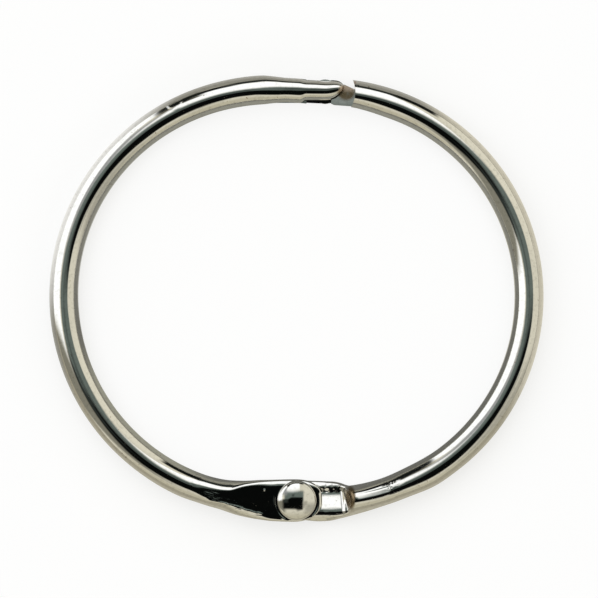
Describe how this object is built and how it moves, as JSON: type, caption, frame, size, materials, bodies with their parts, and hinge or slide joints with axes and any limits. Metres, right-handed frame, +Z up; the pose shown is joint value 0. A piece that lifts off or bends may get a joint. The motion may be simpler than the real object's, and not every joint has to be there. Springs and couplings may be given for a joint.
{
  "type": "binder ring",
  "caption": "Hinged binder ring of bright plated steel wire: two curved halves riveted in a fork hinge, snapped shut by a dome and nub clasp, for holding punched sheets.",
  "frame": {"origin": "middle of the closed ring's outline, on the surface that the ring lies on", "axes": "+Z up, out of the ring's plane on the side that shows the dome; +Y towards the hinge; +X towards the tongue half"},
  "size_m": [0.0342, 0.0308, 0.0023],
  "materials": {
    "plated_wire": "bright nickel plate on steel wire, mirror-like",
    "plated_rivet": "bright nickel plate, ground flush before plating"
  },
  "bodies": {
    "fork_half": {"fork_half": "plated_wire", "hinge_pin": "plated_rivet"},
    "tongue_half": {"tongue_half": "plated_wire"}
  },
  "joints": [
    {"name": "ring_open", "type": "hinge", "parent": "fork_half", "child": "tongue_half", "pos_m": [0.00195, 0.01432, 0.00105], "axis": [0, 0, 1], "range_deg": [0, 120]}
  ]
}
